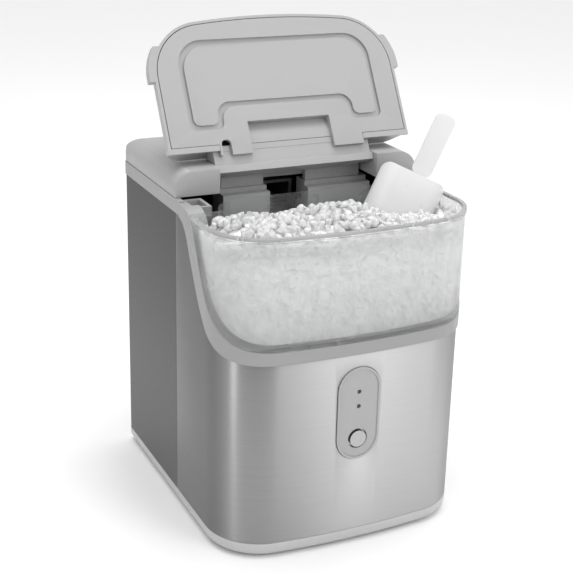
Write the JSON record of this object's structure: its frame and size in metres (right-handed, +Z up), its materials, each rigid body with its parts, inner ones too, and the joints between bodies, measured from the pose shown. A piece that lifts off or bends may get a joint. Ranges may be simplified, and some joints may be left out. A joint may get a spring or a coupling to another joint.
{
  "type": "ice maker",
  "caption": "Countertop nugget ice maker: steel-fronted cabinet with a hinged lid, a clear lift-out ice bin with a scoop, and an auger ice machine inside.",
  "frame": {"origin": "on the standing surface under the middle of the whole object, lid open", "axes": "+Z up, +X to the right seen from the front, the front faces -Y"},
  "size_m": [0.244, 0.27, 0.432],
  "materials": {
    "light_plastic": "satin moulded, light grey",
    "brushed_steel": "fine horizontal brushing",
    "dark_panel": "satin dark grey",
    "clear_plastic": "clear, slightly frosted",
    "white_plastic": "satin white",
    "rubber": "matt",
    "metal": "satin",
    "lens": "smoked, glossy",
    "circuit_board": "solder mask",
    "grey_plastic": "satin moulded, mid grey",
    "dark_plastic": "moulded",
    "black_metal": "gloss enamel",
    "foam": "closed-cell foam",
    "copper": "drawn tube"
  },
  "bodies": {
    "cabinet": {"base_tray": "light_plastic", "front_wrap": "brushed_steel", "rear_shell": "dark_panel", "bezel_frame": "light_plastic", "top_cover": "light_plastic", "hinge_cap_left": "light_plastic", "hinge_cap_right": "light_plastic", "hinge_pin_left": "metal", "hinge_pin_right": "metal", "water_tank": "clear_plastic", "control_panel": "light_plastic", "indicator_lens_lower": "lens", "indicator_lens_upper": "lens", "control_board": "circuit_board", "outlet_housing": "grey_plastic", "ir_sensor_left": "lens", "ir_sensor_right": "lens", "ice_chute": "dark_plastic", "extruder_head": "metal", "evaporator_cylinder": "metal", "evaporator_insulation": "foam", "bearing_housing": "metal", "gearbox_housing": "dark_plastic", "gearbox_lid": "dark_plastic", "gear_motor": "black_metal", "compressor": "black_metal", "compressor_plate": "metal", "condenser": "metal", "fan_shroud": "dark_plastic", "discharge_line": "copper", "suction_line": "copper", "water_pump": "dark_plastic", "feed_tube": "clear_plastic", "supply_tube": "clear_plastic", "drain_tube": "clear_plastic", "drain_spout": "dark_plastic", "power_inlet": "dark_plastic", "main_board": "circuit_board", "foot_front_left": "rubber", "foot_front_right": "rubber", "foot_rear_left": "rubber", "foot_rear_right": "rubber", "compressor_bush_1": "rubber", "compressor_bush_2": "rubber", "compressor_bush_3": "rubber", "rear_screw_1": "metal", "rear_screw_2": "metal", "rear_screw_3": "metal", "rear_screw_4": "metal"},
    "lid": {"lid_shell": "light_plastic", "lid_liner": "light_plastic"},
    "bin": {"ice_bin": "clear_plastic"},
    "scoop": {"scoop": "white_plastic"},
    "button": {"power_button": "metal"},
    "auger": {"auger": "metal", "drive_gear": "metal"},
    "pinion": {"motor_pinion": "metal"},
    "fan": {"fan_rotor": "dark_plastic"},
    "float": {"float_ring": "white_plastic"},
    "drain_cap": {"drain_cap": "rubber"}
  },
  "joints": [
    {"name": "lid_hinge", "type": "hinge", "parent": "cabinet", "child": "lid", "pos_m": [0, 0.0075, 0.305], "axis": [-1, 0, 0], "range_deg": [-120.4, 0]},
    {"name": "bin_lift", "type": "slide", "parent": "cabinet", "child": "bin", "axis": [0, 0, 1], "range_m": [0, 0.14]},
    {"name": "scoop_stow", "type": "slide", "parent": "bin", "child": "scoop", "axis": [0.44, 0, 0.898], "range_m": [-0.0845, 0]},
    {"name": "button_press", "type": "slide", "parent": "cabinet", "child": "button", "axis": [0, 1, 0], "range_m": [0, 0.0015], "stiffness_N_per_m": 400},
    {"name": "auger_spin", "type": "hinge", "parent": "cabinet", "child": "auger", "pos_m": [0, 0.062, 0.1], "axis": [0, 0, 1], "continuous": true},
    {"name": "pinion_spin", "type": "hinge", "parent": "cabinet", "child": "pinion", "pos_m": [0, 0.0245, 0.05], "axis": [0, 0, 1], "continuous": true},
    {"name": "fan_spin", "type": "hinge", "parent": "cabinet", "child": "fan", "pos_m": [0.075, 0.118, 0.095], "axis": [0, 1, 0], "continuous": true},
    {"name": "float_rise", "type": "slide", "parent": "cabinet", "child": "float", "axis": [0, 0, 1], "range_m": [0, 0.04]},
    {"name": "drain_cap_pull", "type": "slide", "parent": "cabinet", "child": "drain_cap", "axis": [0, 1, 0], "range_m": [0, 0.03]}
  ],
  "couplings": [
    {"joint": "pinion_spin", "follows": "auger_spin", "ratio": -4},
    {"joint": "scoop_stow", "follows": "lid_hinge", "m_per_rad": 0.04}
  ]
}
